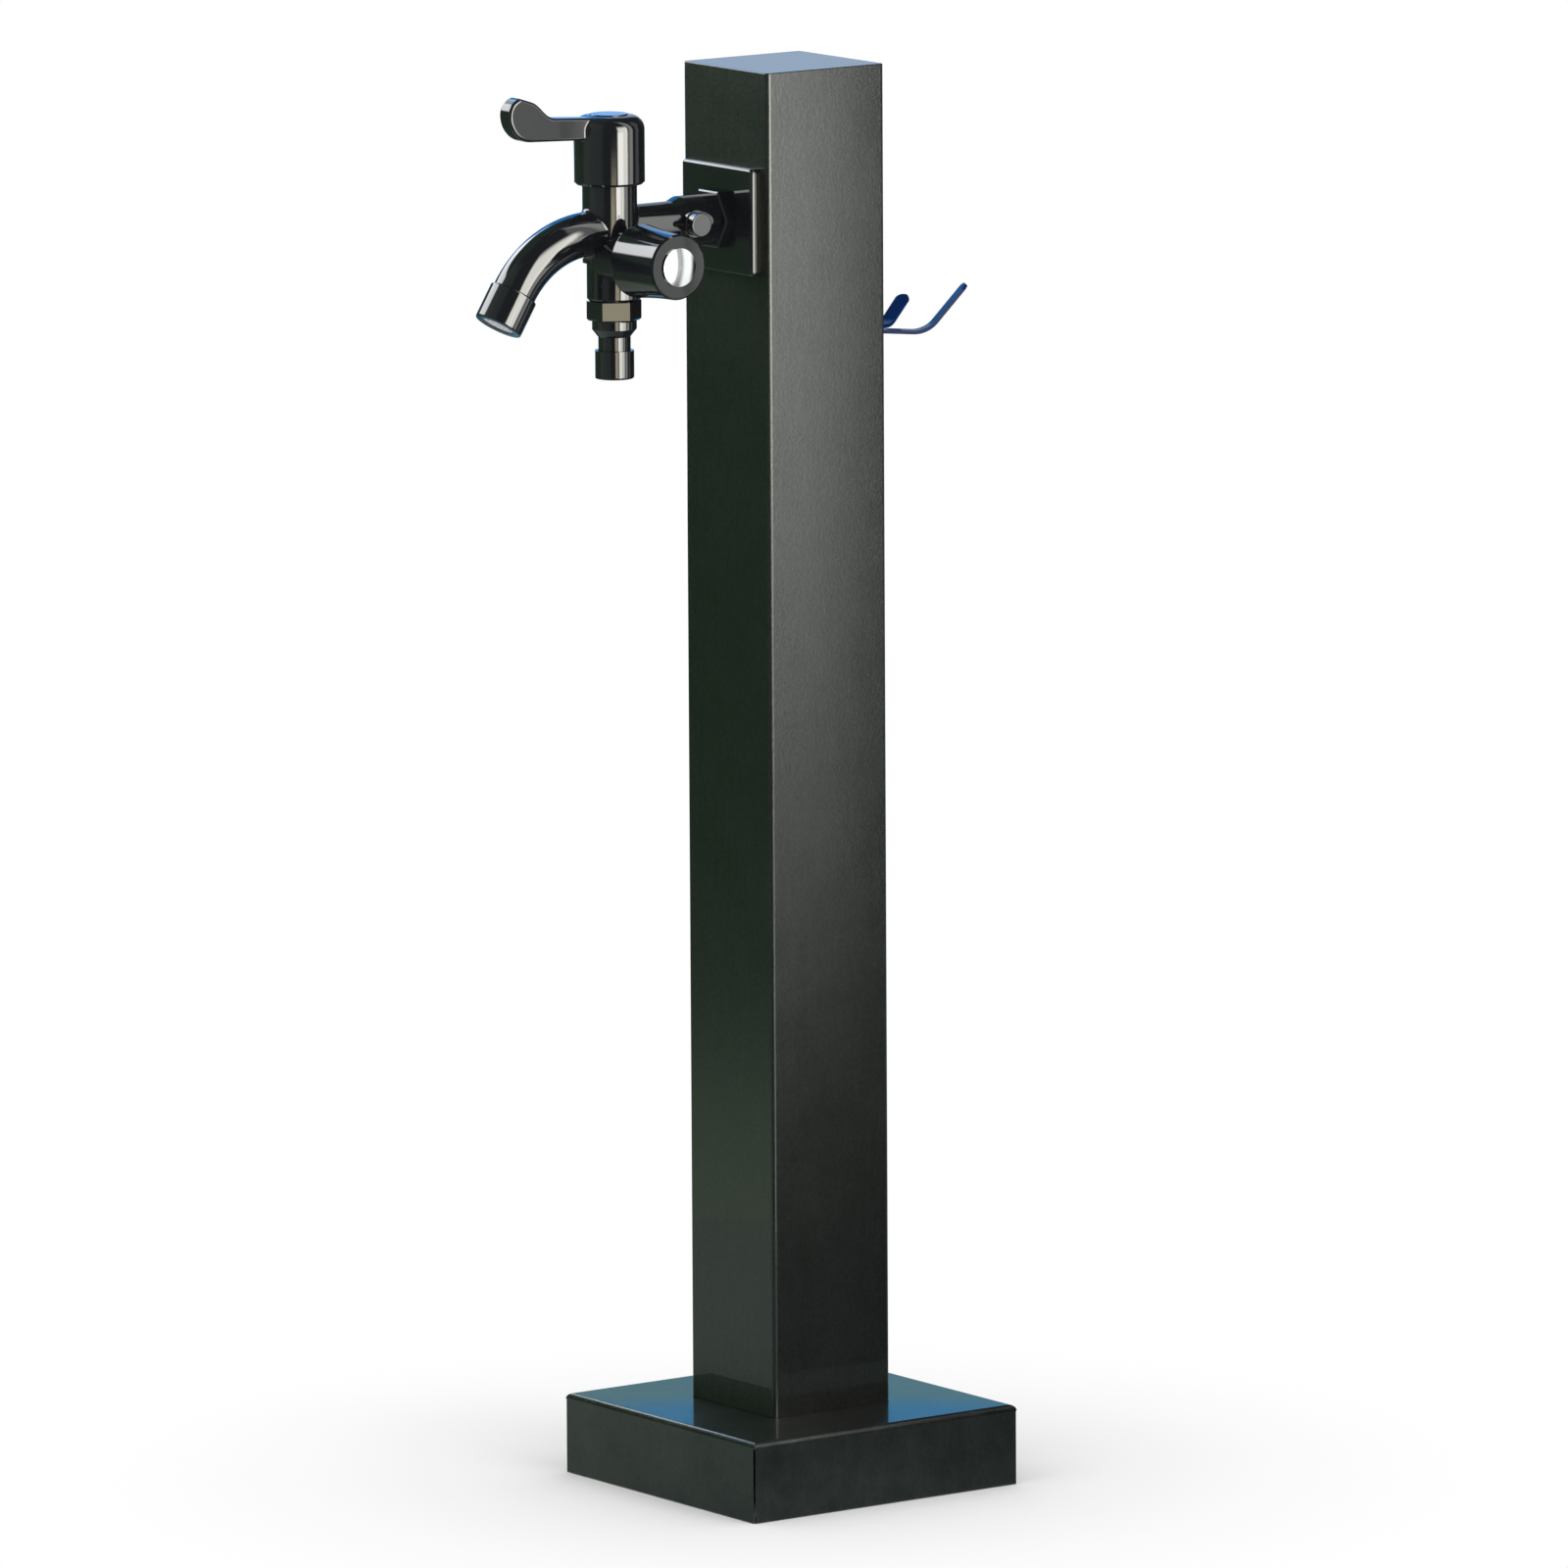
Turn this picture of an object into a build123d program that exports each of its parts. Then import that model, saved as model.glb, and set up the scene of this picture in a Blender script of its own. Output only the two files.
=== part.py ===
"""Garden standpipe: a square column with a two-way tap on its front and a hose hook on its back.

Millimetres, +Z up. The origin is on the column's axis at the ground.
The tap is on the front face, towards -Y, and the hook on the back face, towards +Y.
"""

from build123d import *
import os
from math import cos, radians, sin

os.makedirs("parts", exist_ok=True)

# General clearances
cut_overrun_length = 1.0
running_clearance = 0.05
thread_clearance = 0.1
socket_clearance = 0.05

# Column
standpipe_height = 600.0
column_width = 60.0
column_wall_thickness = 1.5
column_corner_radius = 2.0

# Lid on the column
cap_thickness = 2.0
cap_edge_radius = 0.5
cap_skirt_depth = 10.0
cap_skirt_wall_thickness = 1.5
cap_skirt_clearance = 0.1

# Anchor plate
flange_width = 120.0
flange_thickness = 6.0
flange_corner_radius = 6.0
anchor_margin_width = 13.0
anchor_hole_radius = 5.0
supply_opening_radius = 22.0

# Folded cover over the anchor plate
cover_side_room_width = 7.0
cover_height = 34.0
cover_thickness = 1.0
cover_fold_radius = 2.5
cover_hole_clearance = 0.3
cover_seam_width = 0.8

# Strap across the tube that carries the supply socket
bracket_height = 40.0
bracket_thickness = 2.0
bracket_depth = 34.0
bracket_tab_height = 12.0

# Water line
union_thread_radius = 10.4
thread_hole_clearance = 0.6
waterway_radius = 6.0
supply_port_radius = 9.3
supply_port_depth = 14.0
socket_wall_thickness = 3.1
socket_hex_height = 18.0
socket_spigot_length = 18.0
lock_nut_height = 6.0
riser_radius = 7.5
riser_wall_thickness = 1.0
riser_insertion_length = 10.0
olive_thickness = 1.5
olive_height = 4.0
compression_nut_wall_thickness = 1.5
compression_nut_height = 13.0
compression_nut_overlap_length = 6.0
nut_bevel_width = 1.0

# Elbow behind the tap
elbow_radius = 11.0
elbow_socket_wall_thickness = 3.5
elbow_socket_depth = 12.0
elbow_end_clearance = 2.0
elbow_drop_height = 16.5
elbow_spigot_length = 12.0
gasket_thickness = 1.5

# Place of the tap on the column
inlet_drop_height = 62.5
valve_distance = 59.0

# Square wall plate
escutcheon_width = 50.0
escutcheon_height = 45.0
escutcheon_thickness = 4.7
escutcheon_wall_thickness = 1.5
escutcheon_corner_radius = 2.0
escutcheon_edge_radius = 1.6
escutcheon_boss_radius = 15.0

# Hexagon nut on the tap's shank
wall_nut_wall_thickness = 1.2
wall_nut_thickness = 4.5
wall_nut_bevel_width = 0.6

# Tap body
inlet_pipe_radius = 8.8
inlet_barrel_step_height = 0.2
inlet_barrel_length = 15.3
inlet_taper_length = 4.2
inlet_bore_radius = 4.5
tap_blend_radius = 2.0
inlet_bore_end_length = 2.0
neck_wall_thickness = 3.1
neck_rise_height = 30.5
neck_drop_height = 14.0
outlet_setback_distance = 2.0
outlet_barrel_top_drop_height = 6.5
outlet_barrel_drop_height = 29.5
outlet_bevel_width = 0.6
outlet_bore_radius = 4.0
outlet_bore_top_drop_height = 14.5
side_valve_drop_height = 11.5
side_boss_wall_thickness = 2.6
side_boss_length = 22.0
side_gallery_radius = 2.5
side_gallery_distance = 6.5
spout_gallery_radius = 2.0
spout_gallery_distance = 6.0
spout_gallery_rise_height = 11.5

# Curved spout
spout_radius = 9.2
spout_wall_thickness = 2.7
spout_drop_height = 1.5
spout_straight_length = 9.0
spout_bend_radius = 46.5
spout_bend_angle = 58.0
spout_bore_start_distance = 4.5
spout_spigot_step_height = 0.7
spout_spigot_length = 8.0

# Collar and aerator at the spout's end
collar_wall_thickness = 1.65
collar_length = 15.5
collar_edge_radius = 0.7
collar_lip_width = 0.8
collar_lip_thickness = 1.0
collar_seat_step_height = 0.3
aerator_clearance = 0.05
aerator_washer_thickness = 1.2
aerator_washer_bore_radius = 6.2
aerator_hole_radius = 0.8
aerator_hole_distance = 2.5
aerator_rings = 2

# Plug on the side of the inlet
plug_boss_radius = 5.6
plug_boss_length = 11.4
plug_head_radius = 5.0
plug_head_edge_radius = 0.5
plug_head_length = 3.8
plug_spigot_radius = 3.4
plug_spigot_length = 5.5
plug_seal_thickness = 0.8
plug_distance = 35.6

# Hose adapter under the tap
adapter_hex_radius = 11.4
adapter_hex_height = 9.0
adapter_bevel_width = 0.8
adapter_shoulder_radius = 9.4
adapter_shoulder_height = 3.4
adapter_taper_height = 3.3
nipple_neck_radius = 6.8
nipple_neck_height = 5.7
nipple_ring_radius = 8.2
nipple_ring_height = 11.8
nipple_edge_radius = 0.9
nipple_bore_radius = 4.5
adapter_spigot_radius = 7.5
adapter_spigot_length = 7.0
adapter_washer_bore_radius = 5.0
adapter_washer_thickness = 1.0

# Valve cartridges, both alike, measured from the seat
nose_clearance = 0.2
nose_bore_depth = 10.5
cartridge_thread_step_height = 2.7
cartridge_seat_hole_radius = 3.5
cartridge_seat_hole_depth = 4.0
nose_wall_thickness = 1.3
disc_clearance = 0.1
seat_seal_height = 1.5
disc_radius = 4.1
disc_thickness = 2.2
disc_port_radius = 1.1
disc_port_distance = 2.2
disc_closed_angle = 90.0
spindle_foot_height = 2.6
spindle_radius = 3.0
spindle_flat_depth = 0.8
spindle_handle_length = 7.0
screw_end_room_depth = 1.3
cartridge_length = 24.5
cartridge_head_across_flats = 17.0
cartridge_head_height = 4.0
cartridge_window_width = 4.0
cartridge_window_height = 3.0
cartridge_window_distance = 6.2

# Lever handle on top
handle_neck_clearance = 0.8
handle_wall_thickness = 2.5
handle_skirt_height = 12.0
handle_shoulder_radius = 6.0
handle_bevel_width = 1.0
handle_head_room_height = 1.2
socket_web_thickness = 1.8
screw_recess_radius = 4.5
screw_head_clearance = 0.35
button_radius = 8.0
button_thickness = 1.9
button_proud_height = 0.5
button_edge_radius = 0.4
button_clearance = 0.05

# Lever blade, measured outwards from the handle's axis and upwards from its bottom edge
lever_width = 8.0
lever_root_distance = 9.0
lever_underside_height = 19.0
lever_top_height = 28.2
lever_straight_distance = 27.5
lever_straight_height = 29.3
lever_rise_distance = 41.0
lever_rise_height = 37.0
lever_tip_distance = 52.4
lever_tip_height = 32.0
lever_crown_distance = 46.6
lever_crown_height = 38.8
lever_heel_distance = 41.5
lever_heel_height = 20.4
lever_edge_radius = 1.3
lever_blend_radius = 1.2

# Round handle on the side
knob_skirt_length = 0.3
knob_recess_depth = 11.45
knob_boss_clearance = 1.3
knob_back_radius = 15.4
knob_waist_radius = 14.1
knob_front_radius = 13.6
knob_bevel_width = 0.8
knob_back_edge_radius = 0.8
knob_button_proud_height = 0.9
knob_button_dome_height = 0.8
knob_button_thickness = 2.4

# Handle screws, both alike
screw_radius = 1.95
screw_head_radius = 4.0
screw_head_height = 2.0
screw_length = 9.0
screw_socket_radius = 1.3
screw_socket_depth = 1.2

# Hose hook
hook_drop_height = 114.7
hook_plate_width = 22.0
hook_plate_top_margin_height = 8.0
hook_thickness = 1.6
hook_plate_corner_radius = 4.0
hook_arm_width = 6.0
hook_arm_spread_angle = 25.0
hook_arm_length = 34.0
hook_arm_droop_height = 2.0
hook_tip_run_length = 17.0
hook_long_tip_height = 17.8
hook_short_tip_height = 8.6
hook_bend_radius = 12.0
hook_tip_flat_width = 0.4
hook_screw_radius = 1.95
hook_screw_clearance = 0.25
hook_screw_length = 10.0
hook_screw_head_radius = 3.8
hook_screw_head_height = 2.2
hook_screw_edge_radius = 0.9
hook_screw_spacing_height = 16.0
hook_screw_margin_height = 12.0
hook_nut_across_flats = 7.0
hook_nut_height = 3.2

# Places that follow from the sizes above
cover_width = flange_width + 2 * (cover_side_room_width + cover_thickness)
anchor_hole_distance = flange_width - 2 * anchor_margin_width
inlet_height = standpipe_height - inlet_drop_height
neck_top_height = inlet_height + neck_rise_height
neck_bottom_height = inlet_height - neck_drop_height
outlet_barrel_top_height = inlet_height - outlet_barrel_top_drop_height
outlet_barrel_bottom_height = inlet_height - outlet_barrel_drop_height
outlet_bore_top_height = inlet_height - outlet_bore_top_drop_height
side_valve_height = inlet_height - side_valve_drop_height
spout_gallery_top_height = inlet_height + spout_gallery_rise_height
spout_height = inlet_height - spout_drop_height
hook_height = standpipe_height - hook_drop_height

# Radii and lengths of the pieces that fit into or over one another
thread_hole_radius = union_thread_radius + thread_hole_clearance
socket_across_flats = 2 * (union_thread_radius + socket_wall_thickness)
olive_radius = riser_radius + olive_thickness
compression_nut_across_flats = 2 * (union_thread_radius + thread_clearance + compression_nut_wall_thickness)
elbow_socket_radius = union_thread_radius + thread_clearance + elbow_socket_wall_thickness
wall_nut_across_flats = 2 * (union_thread_radius + thread_clearance + wall_nut_wall_thickness)
inlet_barrel_radius = union_thread_radius + inlet_barrel_step_height
nose_inner_radius = disc_radius + disc_clearance
nose_radius = nose_inner_radius + nose_wall_thickness
nose_bore_radius = nose_radius + nose_clearance
cartridge_thread_bore_radius = nose_bore_radius + cartridge_thread_step_height
neck_radius = cartridge_thread_bore_radius + neck_wall_thickness
side_boss_radius = cartridge_thread_bore_radius + side_boss_wall_thickness
outlet_port_radius = adapter_spigot_radius + thread_clearance
outlet_port_depth = adapter_spigot_length + adapter_washer_thickness
spout_bore_radius = spout_radius - spout_wall_thickness
spout_spigot_radius = spout_radius - spout_spigot_step_height
collar_radius = spout_spigot_radius + thread_clearance + collar_wall_thickness
collar_seat_radius = spout_spigot_radius - collar_seat_step_height
collar_lip_radius = collar_seat_radius - collar_lip_width
plug_end_distance = plug_boss_length + plug_seal_thickness + plug_head_length
spindle_length = cartridge_length + cartridge_head_height + spindle_handle_length
spindle_screw_depth = screw_length - socket_web_thickness + screw_end_room_depth
handle_cavity_radius = neck_radius + handle_neck_clearance
handle_radius = handle_cavity_radius + handle_wall_thickness
knob_cavity_radius = side_boss_radius + knob_boss_clearance
hook_plate_height = hook_screw_margin_height + hook_screw_spacing_height + hook_plate_top_margin_height
hook_tip_distance = hook_arm_length + hook_tip_run_length
hook_tip_radius = (hook_arm_width - hook_tip_flat_width) / 2
hook_screw_hole_radius = hook_screw_radius + hook_screw_clearance

# Places across the column and along the tap
column_half = column_width / 2
column_inner_width = column_width - 2 * column_wall_thickness
column_inner_half = column_inner_width / 2
front_face_y = -column_half
valve_y = front_face_y - valve_distance
outlet_y = valve_y + outlet_setback_distance
escutcheon_front_y = front_face_y - escutcheon_thickness
wall_nut_front_y = escutcheon_front_y - wall_nut_thickness
elbow_face_y = -column_inner_half + gasket_thickness
shank_end_y = elbow_face_y + elbow_socket_depth - elbow_end_clearance
plug_y = valve_y + plug_distance

# Working planes: seats of the two valves, and the line of the inlet
front_plane = Plane(origin=(0, front_face_y, inlet_height), x_dir=(1, 0, 0), z_dir=(0, -1, 0))
inlet_plane = Plane(origin=(0, valve_y, inlet_height), x_dir=(0, 1, 0), z_dir=(1, 0, 0))
top_seat_height = neck_top_height - cartridge_length
top_seat = Plane(origin=(0, valve_y, top_seat_height), x_dir=(1, 0, 0), z_dir=(0, 0, 1))
side_seat_x = side_boss_length - cartridge_length
side_seat = Plane(origin=(side_seat_x, valve_y, side_valve_height), x_dir=(0, 1, 0), z_dir=(1, 0, 0))
side_axis_plane = Plane(origin=(0, valve_y, side_valve_height), x_dir=(0, 1, 0), z_dir=(1, 0, 0))
valve_side_view = Plane(origin=(0, valve_y, 0), x_dir=(0, -1, 0), z_dir=(-1, 0, 0))
valve_top_view = Plane(origin=(0, valve_y, side_valve_height), x_dir=(1, 0, 0), z_dir=(0, 0, 1))


def hex_radius(across_flats):
    """Distance from the centre of a hexagon to its corners."""
    return across_flats / 2 / cos(radians(30))


def meeting_edges(part, old_edges):
    """Curved edges that have come up where a new round form meets the older ones."""
    fresh = part.edges() - old_edges
    return [edge for edge in fresh if edge.geom_type not in (GeomType.LINE, GeomType.CIRCLE)]


# Column: a square tube with the tap's hole in front and the hook's two holes behind
hook_screw_heights = [
    hook_height + hook_screw_margin_height,
    hook_height + hook_screw_margin_height + hook_screw_spacing_height,
]
column_tube_length = standpipe_height - cap_thickness - flange_thickness
back_plane = Plane(origin=(0, column_half, 0), x_dir=(-1, 0, 0), z_dir=(0, 1, 0))

with BuildPart() as column_tube:
    with BuildSketch(Plane.XY.offset(flange_thickness)):
        RectangleRounded(column_width, column_width, column_corner_radius)
        RectangleRounded(
            column_inner_width,
            column_inner_width,
            column_corner_radius - column_wall_thickness,
            mode=Mode.SUBTRACT,
        )
    extrude(amount=column_tube_length)
    with BuildSketch(front_plane.offset(cut_overrun_length)):
        Circle(thread_hole_radius)
    extrude(amount=-(column_wall_thickness + 2 * cut_overrun_length), mode=Mode.SUBTRACT)
    with BuildSketch(back_plane.offset(cut_overrun_length)):
        with Locations(*[(0, height) for height in hook_screw_heights]):
            Circle(hook_screw_hole_radius)
    extrude(amount=-(column_wall_thickness + 2 * cut_overrun_length), mode=Mode.SUBTRACT)
column_tube.part.label = "column_tube"
export_step(column_tube.part, "parts/column_tube.step")


# Lid: a plate flush with the tube, with a skirt that presses into it
cap_skirt_width = column_inner_width - 2 * cap_skirt_clearance

with BuildPart() as top_cap:
    with BuildSketch(Plane.XY.offset(standpipe_height - cap_thickness)):
        RectangleRounded(column_width, column_width, column_corner_radius)
    extrude(amount=cap_thickness)
    fillet(top_cap.faces().sort_by(Axis.Z)[-1].edges(), radius=cap_edge_radius)
    with BuildSketch(Plane.XY.offset(standpipe_height - cap_thickness)):
        RectangleRounded(cap_skirt_width, cap_skirt_width, column_corner_radius - column_wall_thickness)
        Rectangle(
            cap_skirt_width - 2 * cap_skirt_wall_thickness,
            cap_skirt_width - 2 * cap_skirt_wall_thickness,
            mode=Mode.SUBTRACT,
        )
    extrude(amount=-cap_skirt_depth)
top_cap.part.label = "top_cap"
export_step(top_cap.part, "parts/top_cap.step")


# Anchor plate under the column
with BuildPart() as base_flange:
    with BuildSketch():
        RectangleRounded(flange_width, flange_width, flange_corner_radius)
        Circle(supply_opening_radius, mode=Mode.SUBTRACT)
        with GridLocations(anchor_hole_distance, anchor_hole_distance, 2, 2):
            Circle(anchor_hole_radius, mode=Mode.SUBTRACT)
    extrude(amount=flange_thickness)
base_flange.part.label = "base_flange"
export_step(base_flange.part, "parts/base_flange.step")


# Cover: folded from one sheet, open below, its four upright corners butted with a gap
cover_hole_width = column_width + 2 * cover_hole_clearance
cover_corner_distance = cover_width / 2 ** 0.5
seam_length = 4 * cover_thickness

with BuildPart() as base_cover:
    with BuildSketch():
        Rectangle(cover_width, cover_width)
    extrude(amount=cover_height)
    fillet(base_cover.faces().sort_by(Axis.Z)[-1].edges(), radius=cover_fold_radius)
    offset(amount=-cover_thickness, openings=base_cover.faces().sort_by(Axis.Z)[0])
    with BuildSketch(Plane.XY.offset(cover_height + cut_overrun_length)):
        RectangleRounded(
            cover_hole_width,
            cover_hole_width,
            column_corner_radius + cover_hole_clearance,
        )
    extrude(amount=-(cover_thickness + 2 * cut_overrun_length), mode=Mode.SUBTRACT)
    with BuildSketch():
        with PolarLocations(cover_corner_distance - cover_thickness, 4, start_angle=45):
            Rectangle(seam_length, cover_seam_width)
    extrude(amount=cover_height - cover_fold_radius, mode=Mode.SUBTRACT)
base_cover.part.label = "base_cover"
export_step(base_cover.part, "parts/base_cover.step")


# Strap inside the tube, welded to its two side walls
with BuildPart() as inlet_bracket:
    with BuildSketch(Plane.XY.offset(bracket_height)):
        Rectangle(column_inner_width, bracket_depth)
        Circle(thread_hole_radius, mode=Mode.SUBTRACT)
    extrude(amount=bracket_thickness)
    with BuildSketch(Plane.XY.offset(bracket_height)):
        with GridLocations(column_inner_width - bracket_thickness, bracket_depth, 2, 1):
            Rectangle(bracket_thickness, bracket_depth)
    extrude(amount=-bracket_tab_height)
inlet_bracket.part.label = "inlet_bracket"
export_step(inlet_bracket.part, "parts/inlet_bracket.step")


# Supply socket: a hexagon with a threaded port below and a threaded spigot above
socket_bottom = bracket_height - socket_hex_height
socket_top = bracket_height + bracket_thickness + socket_spigot_length
riser_bottom = socket_top - riser_insertion_length
elbow_bottom = inlet_height - elbow_drop_height - elbow_spigot_length
riser_top = elbow_bottom + riser_insertion_length

with BuildPart() as inlet_socket:
    with BuildSketch(Plane.XY.offset(socket_bottom)):
        RegularPolygon(hex_radius(socket_across_flats), 6)
    extrude(amount=socket_hex_height)
    chamfer(inlet_socket.faces().sort_by(Axis.Z)[0].edges(), length=nut_bevel_width)
    with BuildSketch(Plane.XY.offset(bracket_height)):
        Circle(union_thread_radius)
    extrude(amount=socket_top - bracket_height)
    with BuildSketch(Plane.XY.offset(socket_bottom)):
        Circle(supply_port_radius)
    extrude(amount=supply_port_depth, mode=Mode.SUBTRACT)
    with BuildSketch(Plane.XY.offset(socket_bottom)):
        Circle(waterway_radius)
    extrude(amount=socket_top - socket_bottom, mode=Mode.SUBTRACT)
    with BuildSketch(Plane.XY.offset(riser_bottom)):
        Circle(riser_radius + socket_clearance)
    extrude(amount=riser_insertion_length, mode=Mode.SUBTRACT)
inlet_socket.part.label = "inlet_socket"
export_step(inlet_socket.part, "parts/inlet_socket.step")


# Lock nut that pulls the socket up against the strap
with BuildPart() as inlet_lock_nut:
    with BuildSketch(Plane.XY.offset(bracket_height + bracket_thickness)):
        RegularPolygon(hex_radius(socket_across_flats), 6)
    extrude(amount=lock_nut_height)
    chamfer(inlet_lock_nut.faces().sort_by(Axis.Z)[-1].edges(), length=nut_bevel_width)
    with BuildSketch(Plane.XY.offset(bracket_height + bracket_thickness)):
        Circle(union_thread_radius + thread_clearance)
    extrude(amount=lock_nut_height, mode=Mode.SUBTRACT)
inlet_lock_nut.part.label = "inlet_lock_nut"
export_step(inlet_lock_nut.part, "parts/inlet_lock_nut.step")


# Riser between the socket and the elbow
with BuildPart() as riser_pipe:
    with BuildSketch(Plane.XY.offset(riser_bottom)):
        Circle(riser_radius)
        Circle(riser_radius - riser_wall_thickness, mode=Mode.SUBTRACT)
    extrude(amount=riser_top - riser_bottom)
riser_pipe.part.label = "riser_pipe"
export_step(riser_pipe.part, "parts/riser_pipe.step")


# Compression joints: one faces up from the socket, one faces down from the elbow
lower_joint = Plane(origin=(0, 0, socket_top), x_dir=(1, 0, 0), z_dir=(0, 0, 1))
upper_joint = Plane(origin=(0, 0, elbow_bottom), x_dir=(1, 0, 0), z_dir=(0, 0, -1))

with BuildPart() as compression_nuts:
    for joint in (lower_joint, upper_joint):
        with BuildSketch(joint.offset(-compression_nut_overlap_length)):
            RegularPolygon(hex_radius(compression_nut_across_flats), 6)
        extrude(amount=compression_nut_height)
        with BuildSketch(joint.offset(-compression_nut_overlap_length)):
            Circle(union_thread_radius + thread_clearance)
        extrude(amount=compression_nut_overlap_length + olive_height, mode=Mode.SUBTRACT)
        with BuildSketch(joint.offset(olive_height)):
            Circle(riser_radius + thread_clearance)
        extrude(amount=compression_nut_height, mode=Mode.SUBTRACT)
compression_nuts.part.label = "compression_nuts"
export_step(compression_nuts.part, "parts/compression_nuts.step")

with BuildPart() as compression_olives:
    for joint in (lower_joint, upper_joint):
        with BuildSketch(joint):
            Circle(olive_radius)
            Circle(riser_radius, mode=Mode.SUBTRACT)
        extrude(amount=olive_height)
compression_olives.part.label = "compression_olives"
export_step(compression_olives.part, "parts/compression_olives.step")


# Elbow: takes the tap's shank from the front and the riser from below
elbow_face_plane = Plane(origin=(0, elbow_face_y, inlet_height), x_dir=(-1, 0, 0), z_dir=(0, 1, 0))

with BuildPart() as wall_elbow:
    with BuildSketch(elbow_face_plane):
        Circle(elbow_socket_radius)
    extrude(amount=elbow_socket_depth)
    with BuildSketch(elbow_face_plane):
        Circle(elbow_radius)
    extrude(amount=-elbow_face_y)
    with Locations((0, 0, inlet_height)):
        Sphere(elbow_radius)
    with BuildSketch(Plane.XY.offset(inlet_height)):
        Circle(elbow_radius)
    extrude(amount=-elbow_drop_height)
    with BuildSketch(Plane.XY.offset(inlet_height - elbow_drop_height)):
        Circle(union_thread_radius)
    extrude(amount=-elbow_spigot_length)
    with BuildSketch(elbow_face_plane):
        Circle(union_thread_radius + thread_clearance)
    extrude(amount=elbow_socket_depth, mode=Mode.SUBTRACT)
    with BuildSketch(elbow_face_plane):
        Circle(waterway_radius)
    extrude(amount=-elbow_face_y, mode=Mode.SUBTRACT)
    with BuildSketch(Plane.XY.offset(elbow_bottom)):
        Circle(waterway_radius)
    extrude(amount=inlet_height - elbow_bottom, mode=Mode.SUBTRACT)
    with Locations((0, 0, inlet_height)):
        Sphere(waterway_radius, mode=Mode.SUBTRACT)
    with BuildSketch(Plane.XY.offset(elbow_bottom)):
        Circle(riser_radius + socket_clearance)
    extrude(amount=riser_insertion_length, mode=Mode.SUBTRACT)
wall_elbow.part.label = "wall_elbow"
export_step(wall_elbow.part, "parts/wall_elbow.step")

with BuildPart() as elbow_gasket:
    with BuildSketch(elbow_face_plane):
        Circle(elbow_socket_radius)
        Circle(union_thread_radius + thread_clearance, mode=Mode.SUBTRACT)
    extrude(amount=-gasket_thickness)
elbow_gasket.part.label = "elbow_gasket"
export_step(elbow_gasket.part, "parts/elbow_gasket.step")


# Wall plate: a shallow square shell with a boss round the tap's shank
with BuildPart() as escutcheon:
    with BuildSketch(front_plane):
        RectangleRounded(escutcheon_width, escutcheon_height, escutcheon_corner_radius)
    extrude(amount=escutcheon_thickness)
    fillet(escutcheon.faces().sort_by(Axis.Y)[0].edges(), radius=escutcheon_edge_radius)
    with BuildSketch(front_plane):
        Rectangle(escutcheon_width - 2 * escutcheon_wall_thickness, escutcheon_height - 2 * escutcheon_wall_thickness)
        Circle(escutcheon_boss_radius, mode=Mode.SUBTRACT)
    extrude(amount=escutcheon_thickness - escutcheon_wall_thickness, mode=Mode.SUBTRACT)
    with BuildSketch(front_plane):
        Circle(thread_hole_radius)
    extrude(amount=escutcheon_thickness, mode=Mode.SUBTRACT)
escutcheon.part.label = "escutcheon"
export_step(escutcheon.part, "parts/escutcheon.step")


# Hexagon nut that clamps the plate and the wall against the elbow
with BuildPart() as wall_nut:
    with BuildSketch(front_plane.offset(escutcheon_thickness)):
        RegularPolygon(hex_radius(wall_nut_across_flats), 6)
    extrude(amount=wall_nut_thickness)
    chamfer(wall_nut.faces().sort_by(Axis.Y)[0].edges(), length=wall_nut_bevel_width)
    with BuildSketch(front_plane.offset(escutcheon_thickness)):
        Circle(union_thread_radius + thread_clearance)
    extrude(amount=wall_nut_thickness, mode=Mode.SUBTRACT)
wall_nut.part.label = "wall_nut"
export_step(wall_nut.part, "parts/wall_nut.step")


# Spout's centre line: straight out of the body, then one round bend
spout_end_reach = spout_straight_length + spout_bend_radius * sin(radians(spout_bend_angle))
spout_end_height = spout_height - spout_bend_radius * (1 - cos(radians(spout_bend_angle)))
spout_end_plane = Plane(
    origin=(0, valve_y - spout_end_reach, spout_end_height),
    x_dir=(1, 0, 0),
    z_dir=(0, -cos(radians(spout_bend_angle)), -sin(radians(spout_bend_angle))),
)


def spout_path(start_reach):
    """Centre line of the spout from a given reach in front of the valve's axis."""
    with BuildLine(valve_side_view) as path:
        run = Line((start_reach, spout_height), (spout_straight_length, spout_height))
        JernArc(
            start=run @ 1,
            tangent=run % 1,
            radius=spout_bend_radius,
            arc_size=-spout_bend_angle,
        )
    return path.line


# Tap body: shank, inlet, neck, side boss, outlet barrel and spout, cast in one piece
barrel_end = wall_nut_front_y - valve_y
barrel_start = barrel_end - inlet_barrel_length
pipe_end = barrel_start - inlet_taper_length
shank_end = shank_end_y - valve_y
inlet_bore_end = valve_y - inlet_bore_end_length
spout_start_plane = Plane(origin=(0, valve_y, spout_height), x_dir=(1, 0, 0), z_dir=(0, -1, 0))
outlet_base = Plane(origin=(0, outlet_y, outlet_barrel_bottom_height))
plug_plane = Plane(origin=(0, plug_y, inlet_height), x_dir=(0, 1, 0), z_dir=(1, 0, 0))

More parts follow.
